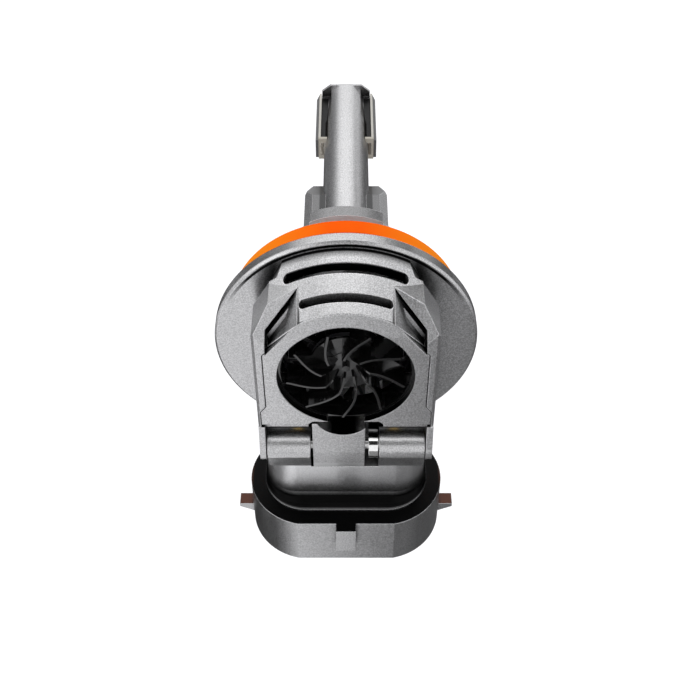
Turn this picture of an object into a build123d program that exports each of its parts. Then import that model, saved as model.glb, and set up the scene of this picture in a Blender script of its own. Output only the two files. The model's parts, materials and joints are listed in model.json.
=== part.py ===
"""LED headlight bulb with a cooling fan and a folding plug module.

Frame: millimetres, +Z up. The origin is the centre of the flange's seating face, +Y runs
forward along the lamp axis into the headlight, and the plug hangs down along -Z.
"""

from build123d import *
import os
from math import cos, pi, sin

os.makedirs("parts", exist_ok=True)

# ---- driving dimensions, mm ---------------------------------------------------------------
# Flange, keyed collar and seal
flange_radius = 17.0
flange_thickness = 1.6
flange_edge = 0.3
seat_rim_inner = 15.4
seat_recess = 0.2
boss_front = 2.0
screw_places = [(7.4, -6.6), (-7.4, -6.6)]
screw_radius = 1.0
screw_tip = -6.4
collar_radius = 9.5
collar_front = 12.9
collar_wall = 1.4
lug_radius = 11.0
lug_thickness = 2.0
lug_widths = {0: 9.7, 120: 7.0, 240: 7.0}
seat_radius = 12.9
seat_front = 5.1
seal_radius = 15.25
seal_back = 1.7
seal_corner = 0.6

# Stem and LEDs
column_radius = 3.45
column_front = 55.4
column_back = -3.4
column_edge = 0.3
window_back = 47.4
spine_half_width = 2.4
core_back_radius = 3.3
core_tip_radius = 2.9
cap_thickness = 0.4
cap_top = (2.5, 3.3)
cap_side = (3.95, 2.15)
web_half_height = 1.1
board_inner = 4.0
board_outer = 4.35
board_front = 54.7
board_half_height = 1.9
led_frame_outer = 4.8
led_frame_half_height = 1.6
led_window = (11.1, 1.9)
led_bevel = (0.4, 1.5)
chip_length = 2.4
chip_width = 1.5
chip_thickness = 0.3
chip_count = 4
chip_pitch = 2.75
leds_middle = 48.2
terminal_back = 41.7
terminal_front = 42.2
terminal_inner = 3.0
pedestal_radius = 4.4
pedestal_front = 31.4
pedestal_half_width = 6.1
pedestal_shoulder = 4.95
pedestal_corner = 28.3
pedestal_half_height = 1.8
pedestal_side = 1.0
ramp_back = 27.4
ramp_low = 0.4

# Rear housing: hood above, square body below, cheeks with gills at both sides
housing_back = -9.2
step_y = -3.4
hood_radius = 16.1
hood_flat_y = -2.3
crease_y = -8.75
crease_radius = 11.9
wall = 1.3
front_half_width = 8.8
front_chamfer_x = 7.7
front_chamfer_z = 12.0
shoulder_x = 9.3
shoulder_z = 12.1
cheek_inner = 5.75
cheek_inner_z = 13.1
housing_half_width = 11.4
cheek_corner_z = 8.4
cheek_bevel = 0.4
housing_bottom = -9.0
floor_thickness = 1.0
hatch_half_width = 4.9
hatch_front = -2.2
hatch_top = -6.0
cavity_half_width = 6.9
slots = [(-3.42, -4.53, 7.5), (-6.55, -7.49, 5.6)]

# Gill of the right side, as (x, y, z) points: an outer facet, a recess beside it and a louver
gill_apex = (5.7, -5.3, 13.1)
gill_ridge = (9.1, -7.1, 12.3)
gill_heel = (10.7, -9.2, 8.5)
gill_lip = (9.7, -8.54, 9.1)
gill_inner = 5.0
cover_corner_high = (6.0, -9.2, 10.3)
cover_corner_low = (9.86, -9.2, 5.39)
louver_high = (6.78, -6.49, 10.98)
louver_low = (9.6, -7.13, 7.02)
louver_near_high = (7.19, -7.84, 9.63)
louver_near_low = (9.5, -8.47, 6.29)
louver_depth = 1.1
cutter_size = 20.0

# Rear cover around the fan's intake
cover_thickness = 1.0
cover_gap = 0.12
cover_half_width = 10.15
cover_foot_half_width = 10.9
cover_foot_z = -4.0
cover_foot_step = 1.0
cover_bottom = -7.4
cover_arch = -6.85
cover_arch_half_width = 4.9
cover_tilt_z = 8.5

# Heat sink
sink_radius = 7.4
sink_plate = 1.0
sink_back = -4.6
sink_fin = 0.5
sink_fin_count = 10
sink_boss_radius = 5.0

# Fan
fan_z = 1.4
opening_radius = 8.57
duct_radius = 8.2
duct_outer = 9.3
duct_front = -4.8
strut_thickness = 0.5
strut_width = 1.2
blade_radius = 7.75
blade_count = 9
blade_root = 1.2
blade_turn = -52
blade_bow = 1.1
blade_bends = 3
blade_thickness = 0.32
blade_front = -6.2
blade_back = -8.6
rotor_disc_radius = 4.5
rotor_disc_front = -6.0
rotor_disc_thickness = 0.4
hub_radius = 1.5
hub_back = -7.9
magnet_radius = 4.3
magnet_thickness = 0.7
magnet_front = -5.4
stator_radius = 3.3
stator_back = -5.85
bearing_radius = 1.1
shaft_radius = 0.5
shaft_back = -7.6
fan_fit = 0.04

# Hinge
hinge_y = -8.0
hinge_z = -12.6
barrel_radius = 2.2
barrel_left_end = -4.72
barrel_right_end = 4.4
barrel_outer = 10.4
lug_inner = 10.55
pin_radius = 0.8
pin_fit = 0.05
block_left = -4.4
block_right = 2.5
block_top = -7.1
block_back = -9.4
block_front = -5.7
block_bend = -12.9
block_bottom = -16.3
scoop_radius = 3.7
scoop_bottom = -9.3
scoop_x = -0.35
washer_left = 3.0
washer_right = 4.25
washer_radius = 1.98

# Plug module: neck, foot and oval shell
neck_half_width = 11.0
neck_back = -9.1
neck_front = -2.3
neck_top = -15.1
neck_lap = 1.0
neck_ceiling = 2.4
neck_wall = 1.0
neck_corner = 4.2
neck_front_corner = 1.2
notch_run_out = 1.0
head_back = -6.0
head_top = -10.6
band_drop = (-10.15, -12.9), (-9.9, -13.7)
ledge_z = -24.0
foot_step = 0.3
foot_height = 1.8
foot_half_width = 11.5
foot_back = -10.95
foot_front = 1.2
foot_corner = 6.0
foot_levels = 4
shell_y = -4.7
shell_radius = 8.6
shell_half_width = 13.6
shell_flat = 8.42
mouth_z = -32.4
shell_wall = 1.5
shell_roof = 1.6
rib_half_width = 1.4
rib_depth = 1.3
rib_bottom = -28.6
barb_top = -28.8
barb_y = -5.2
barb_reach = 15.5
barb_width = 1.9
barb_height = 2.0
barb_edge = 0.65

# Electrical parts
core_length = 13.0
core_width = 8.0
core_lip = 1.0
core_bottom = -27.0
terminal_pitch = 7.0
terminal_y = -5.0
terminal_thickness = 0.8
terminal_width = 2.8
terminal_tip = -31.2
terminal_root = -20.6
driver_y = -5.6
driver_thickness = 1.0
driver_half_width = 8.6
driver_bottom = -22.0
driver_top = -17.9
inductor_size = (3.6, 1.2, 3.0)
inductor_corner = 0.5
capacitor_size = (1.6, 1.0, 1.2)
capacitor_places = (-6.6, -4.4, 4.4, 6.6)
capacitor_z = -19.2
contact_pitch = 13.0
contact_y = -4.2
contact_size = 1.4
spring_size = 1.0
spring_top = -8.0


def across(y):
    """Sketch plane square to the lamp axis at the given Y; extruding goes rearward."""
    return Plane.XZ.offset(-y)


def level(z):
    """Horizontal sketch plane at the given height; extruding goes up."""
    return Plane.XY.offset(z)


def beside(x):
    """Sketch plane square to X, with Y across and Z up; extruding goes towards +X."""
    return Plane.YZ.offset(x)


def save(piece, name):
    """Label a finished piece and write its STEP file."""
    piece.part.label = name
    export_step(piece.part, f"parts/{name}.step")


def outline(plane, points):
    """Face of straight edges through the points."""
    with BuildSketch(plane) as sketch:
        with BuildLine():
            Polyline(*points, close=True)
        make_face()
    return sketch.sketch


def turned(points):
    """Ring about the lamp axis from an outline of (radius, y) points."""
    revolve(outline(Plane.XY, points), axis=Axis.Y)


def prism(plane, points, amount, mode=Mode.ADD):
    """Extruded outline of straight edges."""
    extrude(outline(plane, points), amount=amount, mode=mode)


def both_sides(points):
    """Outline of a shape that is alike left and right, from its right half."""
    return points + [(-x, z) for x, z in reversed(points)]


# ---- flange, collar and seal ----------------------------------------------------------------
with BuildPart() as mounting_flange:
    turned([
        (column_radius, -flange_thickness),
        (flange_radius - flange_edge, -flange_thickness),
        (flange_radius, flange_edge - flange_thickness),
        (flange_radius, 0),
        (seat_rim_inner, 0),
        (seat_rim_inner, -seat_recess),
        (collar_radius - collar_wall, -seat_recess),
        (collar_radius - collar_wall, boss_front),
        (column_radius, boss_front),
    ])
    for x, z in screw_places:
        with Locations(Location((x, -seat_recess, z), (-90, 0, 0))):
            Hole(screw_radius)
save(mounting_flange, "mounting_flange")

with BuildPart() as keyed_collar:
    turned([
        (collar_radius - collar_wall, -seat_recess),
        (collar_radius, -seat_recess),
        (collar_radius, collar_front),
        (collar_radius - collar_wall, collar_front),
    ])
save(keyed_collar, "keyed_collar")

with BuildPart() as seal_seat:
    turned([
        (collar_radius, -seat_recess),
        (seat_radius, -seat_recess),
        (seat_radius, seat_front),
        (collar_radius, seat_front),
    ])
save(seal_seat, "seal_seat")

with BuildPart() as collar_lugs:
    for angle, width in lug_widths.items():
        with BuildSketch(across(collar_front)):
            Circle(lug_radius)
            Circle(collar_radius, mode=Mode.SUBTRACT)
            with Locations(Location((0, 0, 0), (0, 0, angle))):
                Rectangle(width, lug_radius, align=(Align.CENTER, Align.MIN), mode=Mode.INTERSECT)
        extrude(amount=lug_thickness)
save(collar_lugs, "collar_lugs")

with BuildPart() as sealing_ring:
    turned([
        (seat_radius, seal_back),
        (seal_radius - seal_corner, seal_back),
        (seal_radius, seal_back + seal_corner),
        (seal_radius, seat_front - seal_corner),
        (seal_radius - seal_corner, seat_front),
        (seat_radius, seat_front),
    ])
save(sealing_ring, "sealing_ring")

# ---- stem ------------------------------------------------------------------------------------
with BuildPart() as led_column:
    with BuildSketch(across(column_front)):
        Circle(column_radius)
    extrude(amount=column_front - column_back)
    chamfer(led_column.edges().group_by(Axis.Y)[-1], column_edge)
    with BuildSketch(across(column_front)):
        with Locations((spine_half_width, 0), (-spine_half_width, 0)):
            Rectangle(column_radius * 2, column_radius * 2)
        Rectangle(spine_half_width * 2, column_radius * 2, mode=Mode.SUBTRACT)
    extrude(amount=column_front - window_back, mode=Mode.SUBTRACT)
    turned([
        (0, window_back),
        (core_back_radius, window_back),
        (core_tip_radius, column_front - cap_thickness),
        (0, column_front - cap_thickness),
    ])
    prism(across(column_front), both_sides([
        (cap_top[0], -cap_top[1]),
        (cap_side[0], -cap_side[1]),
        cap_side,
        cap_top,
    ]), cap_thickness)
    with BuildSketch(across(column_front)):
        Rectangle(board_inner * 2, web_half_height * 2)
    extrude(amount=column_front - terminal_back)
save(led_column, "led_column")

with BuildPart() as stem_pedestal:
    prism(across(pedestal_front), both_sides([
        (pedestal_shoulder, -pedestal_half_height),
        (pedestal_half_width, -pedestal_side),
        (pedestal_half_width, pedestal_side),
        (pedestal_shoulder, pedestal_half_height),
    ]), pedestal_front - boss_front)
    prism(level(-pedestal_half_height), both_sides([
        (pedestal_half_width, boss_front),
        (pedestal_half_width, pedestal_corner),
        (pedestal_shoulder, pedestal_front),
    ]), pedestal_half_height * 2, Mode.INTERSECT)
    for side in (1, -1):
        prism(beside(-pedestal_half_width), [
            (ramp_back, side * pedestal_half_height),
            (pedestal_front, side * ramp_low),
            (pedestal_front, side * pedestal_half_height),
        ], pedestal_half_width * 2, Mode.SUBTRACT)
    with BuildSketch(across(collar_front)):
        Circle(pedestal_radius)
    extrude(amount=collar_front - boss_front)
    with BuildSketch(across(pedestal_front)):
        Circle(column_radius)
    extrude(amount=pedestal_front - boss_front, mode=Mode.SUBTRACT)
save(stem_pedestal, "stem_pedestal")

for side, name in ((-1, "left"), (1, "right")):
    with BuildPart() as led_board:
        with Locations((side * (board_inner + board_outer) / 2, (terminal_front + board_front) / 2, 0)):
            Box(board_outer - board_inner, board_front - terminal_front, board_half_height * 2)
    save(led_board, f"led_board_{name}")

    with BuildPart() as led_frame:
        prism(level(-led_frame_half_height), [
            (side * board_outer, terminal_back),
            (side * led_frame_outer, terminal_back),
            (side * led_frame_outer, board_front - led_bevel[1]),
            (side * (led_frame_outer - led_bevel[0]), board_front),
            (side * board_outer, board_front),
        ], led_frame_half_height * 2)
        with Locations((side * led_frame_outer, leds_middle, 0)):
            Box((led_frame_outer - board_outer) * 2, *led_window, mode=Mode.SUBTRACT)
    save(led_frame, f"led_frame_{name}")

    with BuildPart() as led_chips:
        with BuildSketch(beside(side * board_outer)):
            with Locations((leds_middle, 0)):
                with GridLocations(chip_pitch, 1, chip_count, 1):
                    Rectangle(chip_length, chip_width)
        extrude(amount=side * chip_thickness)
    save(led_chips, f"led_chips_{name}")

    with BuildPart() as led_terminal:
        with Locations((side * (terminal_inner + board_outer) / 2, (terminal_back + terminal_front) / 2, 0)):
            Box(board_outer - terminal_inner, terminal_front - terminal_back, board_half_height * 2)
        with BuildSketch(across(terminal_front)):
            Circle(column_radius)
            Rectangle(board_inner * 2, web_half_height * 2)
        extrude(amount=terminal_front - terminal_back, mode=Mode.SUBTRACT)
    save(led_terminal, f"led_terminal_{name}")

with BuildPart() as flange_screws:
    for x, z in screw_places:
        with Locations(Location((x, -seat_recess, z), (90, 0, 0))):
            Cylinder(screw_radius, -screw_tip, align=(Align.CENTER, Align.CENTER, Align.MIN))
save(flange_screws, "flange_screws")

# ---- spring contacts that feed the lamp while the plug module is closed -----------------------
with BuildPart() as contact_pads:
    with Locations((0, contact_y, head_top)):
        with GridLocations(contact_pitch, 1, 2, 1):
            Box(contact_size, contact_size, head_top - neck_top + neck_ceiling,
                align=(Align.CENTER, Align.CENTER, Align.MAX))
save(contact_pads, "contact_pads")

with BuildPart() as contact_springs:
    with Locations((0, contact_y, head_top)):
        with GridLocations(contact_pitch, 1, 2, 1):
            Box(spring_size, spring_size, spring_top - head_top,
                align=(Align.CENTER, Align.CENTER, Align.MIN))
save(contact_springs, "contact_springs")

# ---- heat sink between the flange and the fan -------------------------------------------------
with BuildPart() as heat_sink:
    turned([
        (column_radius, -flange_thickness),
        (sink_radius, -flange_thickness),
        (sink_radius, -flange_thickness - sink_plate),
        (sink_boss_radius, -flange_thickness - sink_plate),
        (sink_boss_radius, column_back),
        (column_radius, column_back),
    ])
    with BuildSketch(across(-flange_thickness - sink_plate / 2)):
        with PolarLocations(0, sink_fin_count):
            with Locations((sink_boss_radius - sink_fin, 0)):
                Rectangle(sink_radius - sink_boss_radius + sink_fin, sink_fin,
                          align=(Align.MIN, Align.CENTER))
    extrude(amount=-flange_thickness - sink_plate / 2 - sink_back)
    add(flange_screws.part, mode=Mode.SUBTRACT)
save(heat_sink, "heat_sink")


# ---- rear housing and its cover ----------------------------------------------------------------
def facet(first, second, third):
    """Plane through three points, with its normal rearward."""
    a, b, c = Vector(first), Vector(second), Vector(third)
    normal = (b - a).cross(c - a)
    return Plane(origin=a, z_dir=normal if normal.Y < 0 else normal * -1)


def place(point):
    """The (x, z) place of a point in a section across the lamp axis."""
    return point[0], point[2]


outer_facet = facet(gill_apex, gill_ridge, gill_heel)
recess_facet = facet(gill_apex, cover_corner_high, cover_corner_low)
louver_deep = (louver_near_high[0], louver_near_high[1] + louver_depth, louver_near_high[2])
louver_facet = facet(louver_high, louver_low, louver_deep)

with BuildPart() as outer_cutter:
    prism(across(step_y), [
        place(gill_apex),
        place(gill_lip),
        place(cover_corner_low),
        (cutter_size, cover_corner_low[2]),
        (cutter_size, cutter_size),
        (gill_apex[0], cutter_size),
    ], cutter_size)
    split(bisect_by=outer_facet, keep=Keep.TOP)
    mirror(about=Plane.YZ)

with BuildPart() as recess_cutter:
    prism(across(gill_apex[1]), [
        place(gill_apex),
        place(gill_lip),
        place(cover_corner_low),
        place(cover_corner_high),
        (gill_inner, cover_corner_high[2]),
        (gill_inner, gill_apex[2]),
    ], cutter_size)
    split(bisect_by=recess_facet, keep=Keep.TOP)
    mirror(about=Plane.YZ)

with BuildPart() as louver_cutter:
    prism(across(step_y), [
        place(louver_high),
        place(louver_low),
        place(louver_near_low),
        place(louver_near_high),
    ], cutter_size)
    split(bisect_by=louver_facet, keep=Keep.TOP)
    mirror(about=Plane.YZ)

with BuildPart() as hood_slots:
    for front, back, half_width in slots:
        with BuildSketch(level(fan_z)):
            with Locations((0, (front + back) / 2)):
                SlotOverall(half_width * 2, front - back)
        extrude(amount=hood_radius)

with BuildPart() as hood_trim:
    prism(across(-flange_thickness), both_sides([
        (front_half_width, housing_bottom),
        (front_half_width, front_chamfer_z),
        (front_chamfer_x, (hood_radius ** 2 - front_chamfer_x ** 2) ** 0.5),
        (front_chamfer_x, hood_radius),
    ]), -flange_thickness - step_y)
    prism(across(step_y), both_sides([
        (shoulder_x, 0),
        (shoulder_x, hood_radius),
    ]), step_y - housing_back)


def cover_outline(gap, foot):
    """Outline of the rear cover or its pocket: arched top, straight sides, wider foot."""
    right_half = [
        (cover_corner_high[0], cover_corner_high[2]),
        (cover_half_width + gap, cover_corner_low[2]),
        (cover_half_width + gap, cover_foot_z),
        (cover_foot_half_width + gap, cover_foot_z - cover_foot_step),
    ] + foot
    left_half = [(-x, z) for x, z in right_half]
    with BuildSketch(across(housing_back + cover_thickness)) as sketch:
        with BuildLine():
            Polyline(*right_half)
            Polyline(*left_half)
            Line(right_half[-1], left_half[-1])
            ThreePointArc(right_half[0], (0, crease_radius), left_half[0])
        make_face()
    return sketch.sketch


with BuildPart() as cover_pocket:
    pocket_foot = [(cover_foot_half_width + cover_gap, hinge_z)]
    extrude(cover_outline(cover_gap, pocket_foot), amount=cover_thickness)

with BuildPart() as cavity:
    turned([
        (0, -flange_thickness),
        (hood_radius - wall, -flange_thickness),
        (hood_radius - wall, hood_flat_y),
        (crease_radius - wall, crease_y),
        (0, crease_y),
    ])
    prism(across(-flange_thickness), both_sides([
        (cavity_half_width, 0),
        (cavity_half_width, hood_radius),
    ]), -flange_thickness - crease_y, Mode.INTERSECT)
    with BuildSketch(across(-flange_thickness)):
        with Locations((0, fan_z)):
            Circle(duct_outer)
    extrude(amount=-flange_thickness - crease_y)

with BuildPart() as rear_housing:
    turned([
        (0, -flange_thickness),
        (hood_radius, -flange_thickness),
        (hood_radius, hood_flat_y),
        (crease_radius, crease_y),
        (0, crease_y),
    ])
    add(hood_trim.part, mode=Mode.INTERSECT)
    prism(across(step_y), both_sides([
        (housing_half_width, housing_bottom),
        (housing_half_width, cheek_corner_z),
        (shoulder_x, shoulder_z),
        (cheek_inner, cheek_inner_z),
        (cheek_inner, fan_z),
    ]), step_y - housing_back)
    outer_edges = rear_housing.edges().filter_by(Axis.Z).group_by(Axis.Y)[0]
    chamfer(outer_edges.group_by(Axis.X)[0] + outer_edges.group_by(Axis.X)[-1], cheek_bevel)
    for cutter in (outer_cutter, recess_cutter, louver_cutter, cavity, cover_pocket, hood_slots):
        add(cutter.part, mode=Mode.SUBTRACT)
    hatch_depth = hatch_front - housing_back
    with Locations((0, hatch_front - hatch_depth / 2, housing_bottom)):
        Box(hatch_half_width * 2, hatch_depth, hatch_top - housing_bottom,
            align=(Align.CENTER, Align.CENTER, Align.MIN), mode=Mode.SUBTRACT)
    for side in (-1, 1):
        with BuildSketch(beside(side * lug_inner)):
            with Locations((hinge_y, hinge_z)):
                Circle(barrel_radius)
            with BuildLine():
                Polyline(
                    (housing_back, housing_bottom + floor_thickness),
                    (hinge_y - barrel_radius, hinge_z),
                    (hinge_y + barrel_radius, hinge_z),
                    (step_y, housing_bottom + floor_thickness),
                    close=True,
                )
            make_face()
            with Locations((hinge_y, hinge_z)):
                Circle(pin_radius, mode=Mode.SUBTRACT)
        extrude(amount=side * (housing_half_width - lug_inner))
    add(flange_screws.part, mode=Mode.SUBTRACT)
    add(contact_springs.part, mode=Mode.SUBTRACT)
save(rear_housing, "rear_housing")

with BuildPart() as rear_cover:
    cover_foot = [
        (cover_foot_half_width, cover_bottom),
        (cover_arch_half_width, cover_bottom),
        (cover_arch_half_width - cover_arch + cover_bottom, cover_arch),
    ]
    extrude(cover_outline(0, cover_foot), amount=cover_thickness)
    with BuildSketch(across(housing_back + cover_thickness)):
        with Locations((0, fan_z)):
            Circle(opening_radius)
    extrude(amount=cover_thickness, mode=Mode.SUBTRACT)
    prism(beside(-housing_half_width), [
        (housing_back, cover_tilt_z),
        (crease_y, crease_radius),
        (housing_back, crease_radius),
    ], housing_half_width * 2, Mode.SUBTRACT)
    add(recess_cutter.part, mode=Mode.SUBTRACT)
save(rear_cover, "rear_cover")

# ---- fan ---------------------------------------------------------------------------------------
with BuildPart() as fan_frame:
    with BuildSketch(across(duct_front)):
        with Locations((0, fan_z)):
            Circle(duct_outer)
            Circle(duct_radius, mode=Mode.SUBTRACT)
    extrude(amount=duct_front - housing_back - cover_thickness)
    with BuildSketch(across(duct_front)):
        with Locations((0, fan_z)):
            Circle(stator_radius)
            with PolarLocations(0, 3, start_angle=90):
                Rectangle(duct_outer - strut_thickness, strut_width, align=(Align.MIN, Align.CENTER))
            Circle(bearing_radius, mode=Mode.SUBTRACT)
    extrude(amount=strut_thickness)
    with Locations((0, hinge_y, cover_arch)):
        Box(hatch_half_width * 2, duct_outer, duct_outer,
            align=(Align.CENTER, Align.CENTER, Align.MAX), mode=Mode.SUBTRACT)
save(fan_frame, "fan_frame")

with BuildPart() as fan_stator:
    with BuildSketch(across(duct_front - strut_thickness)):
        with Locations((0, fan_z)):
            Circle(stator_radius)
            Circle(bearing_radius, mode=Mode.SUBTRACT)
    extrude(amount=duct_front - strut_thickness - stator_back)
save(fan_stator, "fan_stator")

with BuildPart() as fan_bearing:
    with BuildSketch(across(duct_front)):
        with Locations((0, fan_z)):
            Circle(bearing_radius)
            Circle(shaft_radius + fan_fit, mode=Mode.SUBTRACT)
    extrude(amount=duct_front - stator_back)
save(fan_bearing, "fan_bearing")

with BuildPart() as fan_shaft:
    with BuildSketch(across(duct_front)):
        with Locations((0, fan_z)):
            Circle(shaft_radius)
    extrude(amount=duct_front - shaft_back)
save(fan_shaft, "fan_shaft")

with BuildPart() as fan_magnet:
    with BuildSketch(across(magnet_front)):
        with Locations((0, fan_z)):
            Circle(magnet_radius)
            Circle(magnet_radius - magnet_thickness, mode=Mode.SUBTRACT)
    extrude(amount=magnet_front - rotor_disc_front)
save(fan_magnet, "fan_magnet")

tip_angle = blade_turn / 180 * pi
tip_radius = blade_radius - blade_thickness / 2
with BuildSketch() as blade_outline:
    with BuildLine():
        blade_arc = SagittaArc(
            (blade_root, 0),
            (tip_radius * cos(tip_angle), tip_radius * sin(tip_angle)),
            blade_bow,
            mode=Mode.PRIVATE,
        )
        Polyline(*[blade_arc @ (bend / blade_bends) for bend in range(blade_bends + 1)])
    trace(line_width=blade_thickness)

with BuildPart() as fan_impeller:
    with BuildSketch(across(rotor_disc_front)):
        with Locations((0, fan_z)):
            Circle(rotor_disc_radius)
    extrude(amount=rotor_disc_thickness)
    with BuildSketch(across(rotor_disc_front)):
        with Locations((0, fan_z)):
            Circle(hub_radius)
    extrude(amount=rotor_disc_front - hub_back)
    with BuildSketch(across(blade_front)):
        with Locations((0, fan_z)):
            with PolarLocations(0, blade_count):
                add(blade_outline.sketch)
    extrude(amount=blade_front - blade_back)
    with BuildSketch(across(rotor_disc_front)):
        with Locations((0, fan_z)):
            Circle(shaft_radius)
    extrude(amount=rotor_disc_front - shaft_back, mode=Mode.SUBTRACT)
save(fan_impeller, "fan_impeller")

# ---- hinge -------------------------------------------------------------------------------------
with BuildPart() as hinge_pin:
    with BuildSketch(beside(-housing_half_width)):
        with Locations((hinge_y, hinge_z)):
            Circle(pin_radius)
    extrude(amount=housing_half_width * 2)
save(hinge_pin, "hinge_pin")

with BuildPart() as hinge_washer:
    with BuildSketch(beside(washer_left)):
        with Locations((hinge_y, hinge_z)):
            Circle(washer_radius)
            Circle(pin_radius + pin_fit, mode=Mode.SUBTRACT)
    extrude(amount=washer_right - washer_left)
save(hinge_washer, "hinge_washer")

with BuildPart() as pin_bore:
    with BuildSketch(beside(-housing_half_width)):
        with Locations((hinge_y, hinge_z)):
            Circle(pin_radius + pin_fit)
    extrude(amount=housing_half_width * 2)

with BuildPart() as hinge_block:
    prism(beside(block_left), [
        (block_back, block_top),
        (block_back, block_bend),
        (neck_back, block_bottom),
        (block_front, block_bottom),
        (block_front, block_top),
    ], block_right - block_left)
    with BuildSketch(across(block_front)):
        with Locations((scoop_x, scoop_bottom + scoop_radius)):
            Circle(scoop_radius)
    extrude(amount=block_front - block_back, mode=Mode.SUBTRACT)
    add(pin_bore.part, mode=Mode.SUBTRACT)
save(hinge_block, "hinge_block")


# ---- plug module -------------------------------------------------------------------------------
def neck_outline(z, grow_side=0, grow_back=0, grow_front=0, corner=neck_corner):
    """Neck section: wide, with large rear corners and small front ones."""
    with BuildSketch(level(z)) as sketch:
        back, front = neck_back - grow_back, neck_front + grow_front
        with Locations((0, (back + front) / 2)):
            Rectangle((neck_half_width + grow_side) * 2, front - back)
        fillet(sketch.vertices().group_by(Axis.Y)[0], corner)
        fillet(sketch.vertices().group_by(Axis.Y)[-1], neck_front_corner)
    return sketch.sketch


def oval(z, shrink=0):
    """Plug shell section: an oval with flats at its front and back."""
    with BuildSketch(level(z)) as sketch:
        with Locations((0, shell_y)):
            SlotOverall((shell_half_width - shrink) * 2, (shell_radius - shrink) * 2)
            Rectangle((shell_half_width - shrink) * 2, (shell_flat - shrink) * 2, mode=Mode.INTERSECT)
    return sketch.sketch


with BuildPart() as neck_shell:
    extrude(neck_outline(ledge_z), amount=neck_top - ledge_z)
    sections = []
    for step in range(foot_levels):
        angle = pi / 2 * step / (foot_levels - 1)
        spread = 1 - cos(angle)
        sections.append(neck_outline(
            ledge_z + foot_step + foot_height * (1 - sin(angle)),
            (foot_half_width - neck_half_width) * spread,
            (neck_back - foot_back) * spread,
            (foot_front - neck_front) * spread,
            neck_corner + (foot_corner - neck_corner) * spread,
        ))
    loft(sections, ruled=True)
    extrude(sections[-1], amount=-foot_step)
    with BuildSketch(beside(-barrel_outer)):
        with Locations((hinge_y, hinge_z)):
            Circle(barrel_radius)
        with BuildLine():
            Polyline((hinge_y, hinge_z), *band_drop, (neck_back, neck_top - neck_lap),
                     (hinge_y + barrel_radius, neck_top - neck_lap), (hinge_y + barrel_radius, hinge_z),
                     close=True)
        make_face()
        with BuildLine():
            Polyline((head_back, head_top), (neck_front, head_top), (neck_front, neck_top - neck_lap),
                     (head_back, neck_top - neck_lap), close=True)
        make_face()
    extrude(amount=barrel_outer * 2)
    notch_depth = block_front - block_back + notch_run_out
    with Locations((barrel_left_end, block_front - notch_depth / 2, block_bottom)):
        Box(barrel_right_end - barrel_left_end, notch_depth, block_top - block_bottom,
            align=(Align.MIN, Align.CENTER, Align.MIN), mode=Mode.SUBTRACT)
    extrude(neck_outline(ledge_z, -neck_wall, -neck_wall, -neck_wall, neck_corner - neck_wall),
            amount=neck_top - neck_ceiling - ledge_z, mode=Mode.SUBTRACT)
    add(pin_bore.part, mode=Mode.SUBTRACT)
    add(contact_pads.part, mode=Mode.SUBTRACT)
save(neck_shell, "neck_shell")

with BuildPart() as plug_shell:
    extrude(oval(mouth_z), amount=ledge_z - mouth_z)
    extrude(oval(mouth_z, shell_wall), amount=ledge_z - shell_roof - mouth_z, mode=Mode.SUBTRACT)
    with Locations((0, shell_y - shell_flat, ledge_z)):
        Box(rib_half_width * 2, rib_depth, ledge_z - rib_bottom,
            align=(Align.CENTER, Align.MAX, Align.MAX))
    for side in (-1, 1):
        prism(across(barb_y + barb_width / 2), [
            (side * (shell_half_width - shell_wall / 2), barb_top),
            (side * barb_reach, barb_top),
            (side * barb_reach, barb_top - barb_edge),
            (side * (shell_half_width - shell_wall / 2), barb_top - barb_height),
        ], barb_width)
    with Locations((0, shell_y, ledge_z)):
        Box(core_length, core_width, shell_roof,
            align=(Align.CENTER, Align.CENTER, Align.MAX), mode=Mode.SUBTRACT)
save(plug_shell, "plug_shell")

with BuildPart() as terminal_blades:
    with BuildSketch(level(terminal_tip)):
        with Locations((0, terminal_y)):
            with GridLocations(terminal_pitch, 1, 2, 1):
                Rectangle(terminal_thickness, terminal_width)
    extrude(amount=terminal_root - terminal_tip)
save(terminal_blades, "terminal_blades")

with BuildPart() as plug_core:
    with Locations((0, shell_y, core_bottom)):
        Box(core_length, core_width, ledge_z - core_bottom,
            align=(Align.CENTER, Align.CENTER, Align.MIN))
    with Locations((0, shell_y, ledge_z - shell_roof)):
        Box(core_length + core_lip, core_width + core_lip, core_lip,
            align=(Align.CENTER, Align.CENTER, Align.MAX))
    add(terminal_blades.part, mode=Mode.SUBTRACT)
save(plug_core, "plug_core")

with BuildPart() as driver_board:
    with Locations((0, driver_y, driver_bottom)):
        Box(driver_half_width * 2, driver_thickness, driver_top - driver_bottom,
            align=(Align.CENTER, Align.CENTER, Align.MIN))
    add(terminal_blades.part, mode=Mode.SUBTRACT)
save(driver_board, "driver_board")

driver_front = driver_y + driver_thickness / 2
with BuildPart() as driver_inductor:
    with Locations((0, driver_front, (driver_bottom + driver_top) / 2)):
        Box(*inductor_size, align=(Align.CENTER, Align.MIN, Align.CENTER))
    chamfer(driver_inductor.edges().filter_by(Axis.Y), inductor_corner)
save(driver_inductor, "driver_inductor")

with BuildPart() as driver_capacitors:
    for x in capacitor_places:
        with Locations((x, driver_front, capacitor_z)):
            Box(*capacitor_size, align=(Align.CENTER, Align.MIN, Align.CENTER))
save(driver_capacitors, "driver_capacitors")
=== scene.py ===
"""Looks for a headlight bulb: blasted metal, silicone seal, gloss fan, studio light.

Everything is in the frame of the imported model: +Y forward along the lamp axis, +Z up. Blender's
own lengths are metres; places and sizes on the bulb are written in millimetres.
"""
import json
import math

import bmesh
import bpy
from mathutils import Matrix, Vector


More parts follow.
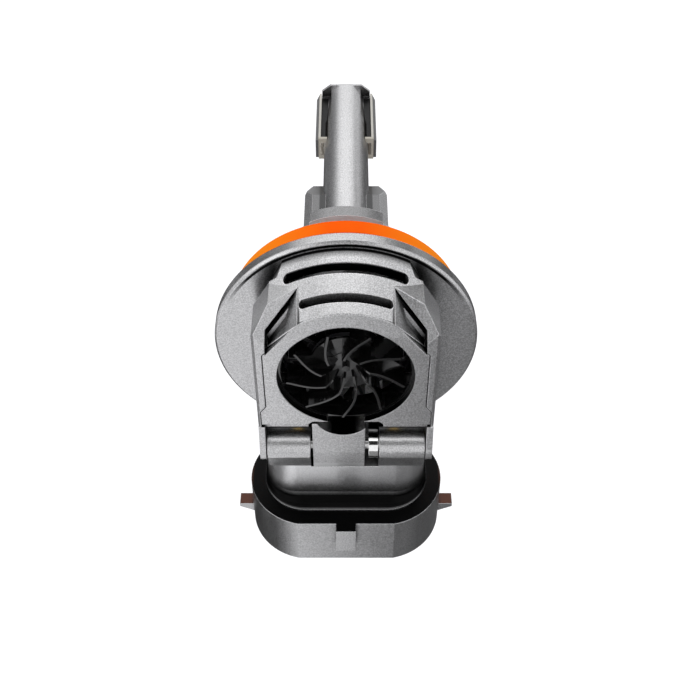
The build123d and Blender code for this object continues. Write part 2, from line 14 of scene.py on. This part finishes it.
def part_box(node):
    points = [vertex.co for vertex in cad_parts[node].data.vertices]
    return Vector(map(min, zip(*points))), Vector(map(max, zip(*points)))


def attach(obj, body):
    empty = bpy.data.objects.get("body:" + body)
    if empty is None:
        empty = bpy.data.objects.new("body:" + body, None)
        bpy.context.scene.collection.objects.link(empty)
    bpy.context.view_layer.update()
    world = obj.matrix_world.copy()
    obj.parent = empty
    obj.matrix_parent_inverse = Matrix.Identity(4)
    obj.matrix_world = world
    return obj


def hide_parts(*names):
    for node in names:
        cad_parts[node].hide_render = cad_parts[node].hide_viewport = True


MM = 0.001
FAN_HEIGHT = 1.4

BEIGE = (0.5, 0.47, 0.4)
REFLECTED_SEAL = (0.07, 0.034, 0.026)
JET = 0.006
SHADE = 0.02
# Pale grey of the painted edge highlights.
EDGE_HIGHLIGHT = 0.9

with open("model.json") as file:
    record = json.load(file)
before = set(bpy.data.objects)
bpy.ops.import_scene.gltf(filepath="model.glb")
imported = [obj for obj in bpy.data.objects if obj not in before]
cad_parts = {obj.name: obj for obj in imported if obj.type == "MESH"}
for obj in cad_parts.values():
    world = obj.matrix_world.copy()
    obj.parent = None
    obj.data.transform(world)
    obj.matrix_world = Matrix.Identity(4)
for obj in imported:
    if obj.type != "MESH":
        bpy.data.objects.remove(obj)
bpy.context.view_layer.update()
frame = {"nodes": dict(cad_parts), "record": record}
nodes = frame["nodes"]


def grey(shade):
    return (shade, shade, shade * 1.01, 1)


def opaque(color, dim=1.0):
    return tuple(channel * dim for channel in color) + (1,)


# ---- shader maths -------------------------------------------------------------------------------
class Value:
    """A number socket that Python expressions turn into Math nodes."""

    def __init__(self, finish, socket):
        self.finish = finish
        self.socket = socket

    def _math(self, operation, first, second):
        return self.finish.value("ShaderNodeMath", {"operation": operation}, {0: first, 1: second})

    def __add__(self, other):
        return self._math("ADD", self, other)

    def __radd__(self, other):
        return self._math("ADD", other, self)

    def __sub__(self, other):
        return self._math("SUBTRACT", self, other)

    def __rsub__(self, other):
        return self._math("SUBTRACT", other, self)

    def __mul__(self, other):
        return self._math("MULTIPLY", self, other)

    def __rmul__(self, other):
        return self._math("MULTIPLY", other, self)


class Finish:
    """A material under construction. Lengths that its methods take are in millimetres."""

    def __init__(self, name, **shader_values):
        self.material = bpy.data.materials.new(name)
        self.material.use_nodes = True
        self.tree = self.material.node_tree
        self.shader = self.tree.nodes["Principled BSDF"]
        for socket, amount in shader_values.items():
            self.shader.inputs[socket.replace("_", " ")].default_value = amount
        self.place = self.node("ShaderNodeTexCoord").outputs["Object"]

    def node(self, kind, settings=None, sockets=None):
        made = self.tree.nodes.new(kind)
        for key, setting in (settings or {}).items():
            setattr(made, key, setting)
        for key, given in (sockets or {}).items():
            given = given.socket if isinstance(given, Value) else given
            if isinstance(given, bpy.types.NodeSocket):
                self.tree.links.new(given, made.inputs[key])
            else:
                made.inputs[key].default_value = given
        return made

    def value(self, kind, settings=None, sockets=None, output=0):
        return Value(self, self.node(kind, settings, sockets).outputs[output])

    def vector_math(self, operation, first, second=None, output=0):
        sockets = {0: first} if second is None else {0: first, 1: second}
        return self.value("ShaderNodeVectorMath", {"operation": operation}, sockets, output)

    def grain(self, size, detail=2.0):
        """Noise from 0 to 1 with grains of the given size."""
        return self.value("ShaderNodeTexNoise", {}, {
            "Vector": self.place, "Scale": 1 / (size * MM), "Detail": detail})

    def ramp(self, amount, low, high):
        """0 below low and 1 above high, for a bare number."""
        return self.value("ShaderNodeMapRange", {}, {
            "Value": amount, "From Min": low, "From Max": high})

    def past(self, length, low, high):
        """0 where the length is below low and 1 above high."""
        return self.ramp(length, low * MM, high * MM)

    def before(self, length, low, high):
        """1 where the length is below low and 0 above high."""
        return 1 - self.past(length, low, high)

    def within(self, length, start, full, last, end):
        """1 from full to last, falling to 0 at start and end."""
        return self.past(length, start, full) * self.before(length, last, end)

    def blend(self, amount, first, second):
        made = self.node("ShaderNodeMix", {"data_type": "RGBA"}, {
            "Factor": amount, 6: first, 7: second})
        return made.outputs[2]

    def feed(self, socket, given):
        given = given.socket if isinstance(given, Value) else given
        self.tree.links.new(given, self.shader.inputs[socket])

    def bumps(self, height, strength, distance=0.02, normal=None):
        sockets = {"Height": height, "Strength": strength, "Distance": distance * MM}
        if normal is not None:
            sockets["Normal"] = normal
        self.feed("Normal", self.node("ShaderNodeBump", {}, sockets).outputs["Normal"])

    def hollow_shading(self, reach, deep, open_sky):
        """Mask for painted shade: 1 in the open, falling to 0 in slots and corners narrower than
        reach.
        """
        seen = self.value("ShaderNodeAmbientOcclusion", {"samples": 8},
                          {"Distance": reach * MM}, "AO")
        return self.ramp(seen, deep, open_sky)

    def along(self, letter):
        """Signed position along one axis."""
        return self.value("ShaderNodeSeparateXYZ", {}, {0: self.place}, letter)

    def aside(self):
        """Distance from the plane of symmetry."""
        return self.value("ShaderNodeMath", {"operation": "ABSOLUTE"}, {0: self.along("X")})

    def off_axis(self, height=0.0):
        """Distance from a line along Y at the given height."""
        raised = self.vector_math("SUBTRACT", self.place, (0, 0, height * MM))
        flat = self.vector_math("MULTIPLY", raised, (1, 0, 1))
        return self.vector_math("LENGTH", flat, output="Value")

    def facing(self, letter, way=1):
        """1 on faces that look along an axis of the piece, else 0."""
        normal = self.node("ShaderNodeTexCoord").outputs["Normal"]
        leaning = self.value("ShaderNodeSeparateXYZ", {}, {0: normal}, letter) * way
        return self.ramp(leaning, 0.8, 0.92)

    def edge(self, radius):
        """Rounded normal, and a mask that is 1 along the edges."""
        rounded = self.node("ShaderNodeBevel", {"samples": 6}, {"Radius": radius * MM}).outputs[0]
        flat = self.node("ShaderNodeNewGeometry").outputs["Normal"]
        agreement = self.vector_math("DOT_PRODUCT", rounded, flat, "Value")
        return rounded, self.ramp(1 - agreement, 0.01, 0.14)


# ---- blasted metal ------------------------------------------------------------------------------
def blasted_metal(name, painted_light_and_tint, shade, rough, reach, deep, open_sky):
    """Aluminium with a fine blasted grain, a painted highlight along its edges and painted shade
    in its hollows.

    The painted_light_and_tint function gives the colour with painted light and shade, and how much
    of the painted edge highlight shows through it.
    """
    made = Finish(name, Metallic=1.0)
    rounded, edges = made.edge(0.14)
    speck = made.ramp(made.grain(0.15, 1.0), 0.36, 0.66)
    cloud = made.grain(5.0, 3.0)
    body = made.blend(speck, grey(shade * 0.72), grey(shade * 1.25))
    patched = made.blend(cloud * 0.25, body, grey(shade * 0.85))
    darkened, highlight_share = painted_light_and_tint(made, patched)
    # Painted highlight: edges lightened toward pale grey.
    edge_lit = made.blend(edges * highlight_share * 0.6, darkened, grey(EDGE_HIGHLIGHT))
    # Painted shade: slots, corners and hollows darkened toward dark grey.
    made.feed("Base Color", made.blend(
        made.hollow_shading(reach, deep, open_sky), grey(SHADE), edge_lit))
    made.feed("Roughness", rough + speck * 0.12 + cloud * 0.05 - edges * 0.08)
    made.bumps(made.grain(0.14, 2.0), 0.25, normal=rounded)
    return made.material


# Places of the painted shade and light on the housing, in millimetres. Two numbers are where a
# patch starts and where it is full. Four are where it starts, is full, begins to fade and ends.
HOOD_HEIGHT = (7, 11)
LEDGE_DEPTH = (23.6, 23.9)
LEDGE_ENDS = (13.2, 13.8)
FOOT_DEPTH = (20.0, 22.6, 23.6, 23.8)
HOOD_RADIUS = (14.2, 14.6)
HOOD_FRONT = (1.66, 1.74, 2.1, 2.9)
GROOVE_RADIUS = (16.14, 16.2, 16.5, 16.58)
LINE_RADIUS = (16.8, 16.86, 17.1, 17.2)
RIM_RADIUS = (16.9, 16.96)
BORE_RADIUS = (8.58, 8.66)
SLOT_WALL = (3.36, 3.4, 3.44, 3.5)
SLOT_HALF_WIDTH = (7.3, 7.5)
SLOT_RADIUS = (15.1, 15.3)
FLANGE_SHADOW = (7.6, 8.6, 9.2, 12.2)
FLANGE_REAR = (2.0, 2.4)
CHEEK = (5.8, 7.5, 12, 13)
RIB_HALF_WIDTH = (1.4, 1.45)
RIB_REAR = (13.2, 13.25)
PLUG_DEPTH = (24.0, 24.2)
NECK_DEPTH = (15.2, 15.6, 19.5, 22)
SCOOP_HALF_WIDTH = (3.2, 3.4)
SCOOP_DEPTH = (8.0, 8.3, 9.5, 9.7)
SCOOP_REAR = (5.0, 5.5, 9.3, 9.5)


def housing_painted_light_and_shade(made, body):
    """Painted shade: a black ledge, neck foot, hood front, grooves, bore, slot walls and scoop,
    and shaded shoulders, rim, plug and flange face. Painted light on the neck, and a painted
    reflection of the seal on the ends of the ledge.
    """
    depth = 0 - made.along("Z")
    behind = 0 - made.along("Y")
    radius, aside = made.off_axis(), made.aside()
    upper = made.past(made.along("Z"), *HOOD_HEIGHT)
    faces_up, faces_back = made.facing("Z"), made.facing("Y", -1)
    rear_face = faces_back * upper

    # Painted shade: black on the ledge, the neck's foot, the hood's front, the grooves, the bore,
    # the slot walls and the scoop.
    ledge = faces_up * made.past(depth, *LEDGE_DEPTH)
    foot = made.within(depth, *FOOT_DEPTH)
    hood_front = made.past(radius, *HOOD_RADIUS) * made.within(behind, *HOOD_FRONT) * upper
    groove = made.within(radius, *GROOVE_RADIUS) * rear_face
    line = made.within(radius, *LINE_RADIUS) * rear_face
    bore = made.before(made.off_axis(FAN_HEIGHT), *BORE_RADIUS)
    slot = faces_back * made.within(behind, *SLOT_WALL) * (
        made.before(aside, *SLOT_HALF_WIDTH) * made.before(radius, *SLOT_RADIUS))
    scoop = faces_up * made.before(aside, *SCOOP_HALF_WIDTH) * (
        made.within(depth, *SCOOP_DEPTH) * made.within(behind, *SCOOP_REAR))

    # Painted shade on the flange's rear face, the shoulders, the rim and the plug; painted light
    # on the neck.
    flange = rear_face * made.within(aside, *FLANGE_SHADOW) * made.before(behind, *FLANGE_REAR)
    cheek = faces_up * made.within(aside, *CHEEK) * upper
    rim = made.past(radius, *RIM_RADIUS) * (1 - faces_back)
    rib = made.before(aside, *RIB_HALF_WIDTH) * made.past(behind, *RIB_REAR)
    plug = made.past(depth, *PLUG_DEPTH) * (1 - rib)
    neck = made.within(depth, *NECK_DEPTH)

    bright = made.blend(neck * 0.5, body, grey(0.85))
    shading = cheek * 0.3 + rim * 0.25 + plug * 0.22 + flange * 0.85
    shaded = made.blend(shading, bright, grey(SHADE))
    painted_black_shade = foot + hood_front + groove + line * 0.8 + bore + slot + scoop
    black = made.blend(painted_black_shade, shaded, grey(JET))
    # Painted reflection of the seal: brown on the ends of the ledge.
    ledge_color = made.blend(made.past(aside, *LEDGE_ENDS), grey(JET), opaque(REFLECTED_SEAL))
    return made.blend(ledge, black, ledge_color), 1 - (hood_front + groove + line + slot + foot)


# Places on the stem, in millimetres, as above.
WINDOW_ASIDE = (2.84, 2.92, 6, 7)
WINDOW_LENGTH = (42, 42.2, 54.3, 54.5)
BOARD_SEAT_END = (41.5, 41.6, 41.8, 41.9)
PEDESTAL_INNER = (3.8, 4.0)
FRAME_OUTER = (3.9, 4.0)


def column_shade_and_seat_ends(made, body):
    """Painted shade: black windows beside the light-emitting boards; also the pale ends of the
    board seats.
    """
    along = made.along("Y")
    window = made.within(made.aside(), *WINDOW_ASIDE) * made.within(along, *WINDOW_LENGTH)
    end = made.facing("Y", -1) * made.within(along, *BOARD_SEAT_END)
    # Painted shade: the windows darkened to near black.
    dark = made.blend(window, body, grey(0.015))
    return made.blend(end, dark, opaque(BEIGE)), 1 - window


def pedestal_painted_shade(made, body):
    """Painted shade on the flats, deeper toward the column."""
    inner = made.before(made.aside(), *PEDESTAL_INNER)
    return made.blend(made.facing("Z") * (0.72 + inner * 0.2), body, grey(SHADE)), 1.0


def lug_painted_light_and_shade(made, body):
    """Lug with painted shade on its outer face and painted light on its pale rear one."""
    outer = made.blend(made.facing("Z") * 0.7, body, grey(SHADE))
    return made.blend(made.facing("Y", -1), outer, grey(0.97)), 1.0


# ---- other finishes -----------------------------------------------------------------------------
def moulded(name, color, rough, grain_size, relief):
    """Moulded plastic or coating with a faint texture of its own."""
    made = Finish(name)
    cloud = made.grain(3.0, 3.0)
    made.feed("Base Color", made.blend(cloud, opaque(color), opaque(color, 0.82)))
    made.feed("Roughness", rough + cloud * 0.08)
    made.bumps(made.grain(grain_size), relief)
    return made.material


def worked_metal(name, color, rough):
    """Turned, plated or drawn metal with fine streaks and a painted highlight along its edges."""
    made = Finish(name, Metallic=1.0)
    rounded, edges = made.edge(0.08)
    streak = made.grain(0.3, 3.0)
    body = made.blend(streak, opaque(color), opaque(color, 0.8))
    # Painted highlight: edges lightened toward pale grey.
    made.feed("Base Color", made.blend(edges * 0.5, body, grey(EDGE_HIGHLIGHT)))
    made.feed("Roughness", rough + streak * 0.1)
    made.bumps(streak, 0.08, 0.01, rounded)
    return made.material


def silicone(name):
    """Orange silicone, paler and yellower toward its sides."""
    made = Finish(name, Specular_IOR_Level=0.03)
    cloud = made.grain(4.0, 3.0)
    body = made.blend(cloud, (1.0, 0.13, 0.0, 1), (0.97, 0.1, 0.0, 1))
    sides = made.past(made.aside(), 2, 13)
    made.feed("Base Color", made.blend(sides, body, (0.95, 0.27, 0.006, 1)))
    made.feed("Roughness", 0.5 + cloud * 0.12)
    made.bumps(made.grain(0.25), 0.1)
    return made.material


def led_frame(name):
    """Satin frame: black inside, grey on its outer facets."""
    made = Finish(name, Specular_IOR_Level=0.25)
    cloud = made.grain(2.0, 3.0)
    facets = made.blend(cloud, grey(0.13), grey(0.09))
    made.feed("Base Color", made.blend(made.past(made.aside(), *FRAME_OUTER), grey(JET), facets))
    made.feed("Roughness", 0.32 + cloud * 0.08)
    made.bumps(made.grain(0.2), 0.2)
    return made.material


def gloss_plastic(name):
    """Gloss black plastic with a matt hub painted grey as a reflection, and almost no shine in
    front of the impeller.
    """
    made = Finish(name, Coat_Weight=0.5, Coat_Roughness=0.05)
    cloud = made.grain(3.0, 3.0)
    behind = 0 - made.along("Y")
    hub = made.facing("Y", -1) * made.before(made.off_axis(FAN_HEIGHT), 2.4, 3.0)
    hub = hub * made.within(behind, 6.0, 6.2, 6.7, 6.9)
    made.feed("Metallic", made.before(behind, 5.4, 5.5))
    body = made.blend(cloud, grey(0.003), grey(0.005))
    # Painted reflection: the hub's rear face painted grey.
    made.feed("Base Color", made.blend(hub, body, grey(0.07)))
    made.feed("Roughness", 0.1 + cloud * 0.06 + hub * 0.3)
    made.bumps(made.grain(0.4), 0.03)
    return made.material


finishes = {
    "housing_metal": blasted_metal("housing_blasted", housing_painted_light_and_shade, shade=0.56, rough=0.26,
                                   reach=1.8, deep=0.22, open_sky=0.7),
    "stem_metal": blasted_metal("stem_blasted", column_shade_and_seat_ends, shade=0.51, rough=0.26,
                                reach=3.0, deep=0.2, open_sky=0.75),
    "sink_metal": worked_metal("sink_milled", (0.05, 0.05, 0.052), 0.34),
    "seal_silicone": silicone("seal_orange"),
    "fan_plastic": gloss_plastic("fan_gloss_black"),
    "board_copper": moulded("board_mask", (0.55, 0.53, 0.48), 0.4, 0.3, 0.1),
    "led_frame_black": led_frame("led_frame_satin"),
    "led_phosphor": moulded("led_phosphor", (0.93, 0.74, 0.1), 0.55, 0.1, 0.2),
    "terminal_block": moulded("terminal_beige", BEIGE, 0.5, 0.2, 0.2),
    "steel": worked_metal("steel_bright", (0.62, 0.62, 0.62), 0.22),
    "bright_washer": worked_metal("washer_polished", (0.98, 0.98, 0.97), 0.06),
    "bearing_bronze": worked_metal("bearing_bronze", (0.5, 0.34, 0.18), 0.35),
    "magnet": moulded("magnet_ferrite", (0.06, 0.06, 0.065), 0.5, 0.2, 0.2),
    "winding": worked_metal("winding_copper", (0.7, 0.3, 0.13), 0.3),
    "terminal_tin": worked_metal("terminal_tinned", (0.72, 0.7, 0.64), 0.25),
    "plug_insulator": moulded("insulator_black", (0.02, 0.02, 0.022), 0.35, 0.3, 0.1),
    "driver_green": moulded("driver_mask", (0.02, 0.14, 0.05), 0.3, 0.3, 0.1),
    "ferrite": moulded("ferrite_grey", (0.1, 0.1, 0.105), 0.6, 0.2, 0.2),
    "ceramic": moulded("capacitor_ceramic", (0.45, 0.32, 0.2), 0.45, 0.2, 0.1),
    "contact_gold": worked_metal("contact_plated", (0.9, 0.64, 0.24), 0.2),
}

own_finish = {
    "fan_shaft": gloss_plastic("shaft_black"),
    # The pedestal's copy of the blasted metal, with painted shade on its flats.
    "stem_pedestal": blasted_metal("pedestal_blasted_shaded", pedestal_painted_shade, shade=0.51, rough=0.26,
                                   reach=2.0, deep=0.2, open_sky=0.7),
    # A lighter copy of the blasted metal: painted light on the lugs, with painted shade on their
    # outer faces.
    "collar_lugs": blasted_metal("collar_blasted_lit", lug_painted_light_and_shade, shade=0.75, rough=0.3,
                                 reach=0.6, deep=0.1, open_sky=0.6),
}

slot_of = {part["node"]: part["material_slot"] for part in frame["record"]["subparts"]}
for name, node in nodes.items():
    node.data.materials.clear()
    node.data.materials.append(own_finish.get(name, finishes[slot_of[name]]))


# ---- fan impeller -------------------------------------------------------------------------------
def placed(name, shape):
    """Object in the scene with the bmesh as its mesh."""
    mesh = bpy.data.meshes.new(name)
    shape.to_mesh(mesh)
    shape.free()
    made = bpy.data.objects.new(name, mesh)
    bpy.context.scene.collection.objects.link(made)
    return made


def impeller():
    """Nine deep swept blades around an open middle, on the rotor's disc."""
    low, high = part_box("fan_impeller")
    middle = Vector((0, 0, (low.z + high.z) / 2))
    blade_count, steps = 9, 14
    blade_thickness = 0.32 * MM
    root, tip = 1.3 * MM, 7.58 * MM
    open_root = 3.0 * MM
    rear, disc, front = -8.95 * MM, -6.38 * MM, -5.5 * MM
    disc_edge = 4.75 * MM
    root_depth = 0.05 * MM
    tip_angle, sweep = math.radians(-52), math.radians(30)
    hub_rounds = (  # radius, middle and depth
        (2.0 * MM, -6.4 * MM, 0.2 * MM),
        (4.5 * MM, -6.2 * MM, 0.4 * MM),
    )

    def angle(radius):
        return tip_angle + sweep * ((tip - radius) / (tip - open_root)) ** 1.3

    def rear_edge(radius):
        return disc + (rear - disc) * min(1, ((radius - root) / (open_root - root)) ** 0.7)

    def front_edge(radius):
        return disc if radius < disc_edge else front

    shape = bmesh.new()
    start = Matrix.Rotation(-angle(root), 4, "Y")
    ends = [shape.verts.new(middle + start @ Vector((root, y, 0)))
            for y in (disc - root_depth, disc)]
    edge = shape.edges.new(ends)
    radius = root
    for step in range(1, steps + 1):
        reach = root + (tip - root) * step / steps
        new = bmesh.ops.extrude_edge_only(shape, edges=[edge])["geom"]
        verts = [item for item in new if isinstance(item, bmesh.types.BMVert)]
        edge = next(item for item in new if isinstance(item, bmesh.types.BMEdge))
        bmesh.ops.scale(shape, vec=(reach / radius, 1, reach / radius), verts=verts,
                        space=Matrix.Translation(-middle))
        bmesh.ops.rotate(shape, verts=verts, cent=middle,
                         matrix=Matrix.Rotation(angle(radius) - angle(reach), 4, "Y"))
        behind, ahead = sorted(verts, key=lambda vert: vert.co.y)
        bmesh.ops.translate(shape, verts=[behind], vec=(0, rear_edge(reach) - behind.co.y, 0))
        bmesh.ops.translate(shape, verts=[ahead], vec=(0, front_edge(reach) - ahead.co.y, 0))
        radius = reach
    bmesh.ops.recalc_face_normals(shape, faces=shape.faces)
    bmesh.ops.solidify(shape, geom=shape.faces[:], thickness=blade_thickness)
    bmesh.ops.spin(shape, geom=shape.verts[:] + shape.edges[:] + shape.faces[:], cent=middle,
                   axis=(0, 1, 0), angle=math.tau * (blade_count - 1) / blade_count,
                   steps=blade_count - 1, use_duplicate=True)
    flat = Matrix.Rotation(math.radians(90), 4, "X")
    for size, y, depth in hub_rounds:
        place = Matrix.Translation(middle + Vector((0, y, 0)))
        bmesh.ops.create_cone(shape, cap_ends=True, segments=64, radius1=size, radius2=size,
                              depth=depth, matrix=place @ flat)
    bmesh.ops.recalc_face_normals(shape, faces=shape.faces)

    made = placed("impeller_blades", shape)
    made.data.materials.append(finishes["fan_plastic"])
    bevel = made.modifiers.new("edges", "BEVEL")
    bevel.width = 0.15 * MM
    bevel.segments = 3
    bevel.limit_method = "ANGLE"
    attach(made, "fan_rotor")
    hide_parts("fan_impeller")


impeller()


# ---- studio, in metres --------------------------------------------------------------------------
BULB = (0, 0, 0)


def seen_directly(tree):
    """1 for camera, glossy and transmission rays, else 0."""
    paths = tree.nodes.new("ShaderNodeLightPath")
    total = paths.outputs["Is Camera Ray"]
    for other in ("Is Glossy Ray", "Is Transmission Ray"):
        larger = tree.nodes.new("ShaderNodeMath")
        larger.operation = "MAXIMUM"
        tree.links.new(total, larger.inputs[0])
        tree.links.new(paths.outputs[other], larger.inputs[1])
        total = larger.outputs[0]
    return total


def turned_to(aim, place, axis):
    """Rotation that points one axis from the place to the aim."""
    return (Vector(aim) - Vector(place)).to_track_quat(axis, "Y")


def sheet_of(name, width, depth, place, shade, aim=None):
    """Flat sheet in the studio, facing aim or up."""
    shape = bmesh.new()
    bmesh.ops.create_grid(shape, x_segments=1, y_segments=1, size=0.5)
    bmesh.ops.scale(shape, vec=(width, depth, 1), verts=shape.verts)
    facing = Matrix.Identity(4)
    if aim is not None:
        facing = turned_to(aim, place, "Z").to_matrix().to_4x4()
    bmesh.ops.transform(shape, matrix=Matrix.Translation(place) @ facing, verts=shape.verts)
    made = placed(name, shape)
    finish = Finish(name, Roughness=0.9, Base_Color=grey(shade))
    made.data.materials.append(finish.material)
    return made, finish


def dark_card(name, width, depth, place, shade, aim=None):
    """Dark card beside the set, which only reflections show."""
    card, _ = sheet_of(name, width, depth, place, shade, aim)
    card.visible_camera = False
    card.visible_shadow = False
    card.visible_diffuse = False


def lamp(name, place, size, power):
    """Square lamp turned to the bulb."""
    light = bpy.data.lights.new(name, "AREA")
    light.size = size
    light.energy = power
    made = bpy.data.objects.new(name, light)
    made.location = place
    made.rotation_euler = turned_to(BULB, place, "-Z").to_euler()
    bpy.context.scene.collection.objects.link(made)


_, floor_finish = sheet_of("floor", 6.0, 6.0, (0, 0, -0.16), 0.8)
floor_finish.shader.inputs["Emission Strength"].default_value = 1.0
floor_finish.feed("Emission Color", floor_finish.blend(
    seen_directly(floor_finish.tree), grey(0.0), grey(0.38)))

dark_card("card_low_right", 0.40, 0.50, (0.20, -0.16, -0.13), 0.2)
dark_card("card_low_left", 0.08, 0.12, (-0.08, -0.01, -0.13), 0.02)
dark_card("card_low_front", 0.50, 0.51, (0, 0.245, -0.13), 0.02)
dark_card("card_left_rear", 0.14, 0.12, (-0.18, -0.24, -0.04), 0.02, aim=BULB)
dark_card("card_ahead_left", 0.36, 0.22, (-0.24, 0.26, 0.02), 0.2, aim=BULB)
dark_card("card_ahead_right", 0.30, 0.16, (0.28, 0.24, -0.02), 0.1, aim=BULB)
dark_card("card_up_right", 0.13, 0.12, (0.17, 0.215, 0.18), 0.02, aim=BULB)
dark_card("card_right", 0.20, 0.22, (0.30, 0.07, 0.04), 0.02, aim=BULB)
dark_card("card_left", 0.26, 0.22, (-0.30, 0.07, 0.01), 0.05, aim=BULB)
dark_card("card_behind", 0.11, 0.11, (0, -0.13, 0.135), 0.01, aim=BULB)
lamp("overhead", (0, 0.31, 0.38), size=0.45, power=0.48)
lamp("top", (0, -0.08, 0.30), size=0.20, power=0.08)
lamp("key_left", (-0.30, -0.20, 0.16), size=0.2, power=0.12)

world = bpy.data.worlds.new("studio")
bpy.context.scene.world = world
world.use_nodes = True
background = world.node_tree.nodes["Background"]
strength = world.node_tree.nodes.new("ShaderNodeMapRange")
strength.inputs["To Min"].default_value = 0.8
strength.inputs["To Max"].default_value = 1.0
world.node_tree.links.new(seen_directly(world.node_tree), strength.inputs["Value"])
world.node_tree.links.new(strength.outputs["Result"], background.inputs["Strength"])
background.inputs["Color"].default_value = grey(1.0)

bpy.context.scene.view_settings.view_transform = "Standard"

camera_tilt = 45.65  # degrees below the horizon
camera_data = bpy.data.cameras.new("camera")
camera_data.lens = 54.07
camera_data.sensor_width = 36.0
camera_data.shift_x = 0.0057
camera_data.clip_start = 0.005
camera = bpy.data.objects.new("camera", camera_data)
camera.location = (0, -0.09762, 0.09688)
camera.rotation_euler = (math.radians(90 - camera_tilt), 0, 0)
bpy.context.scene.collection.objects.link(camera)
bpy.context.scene.camera = camera
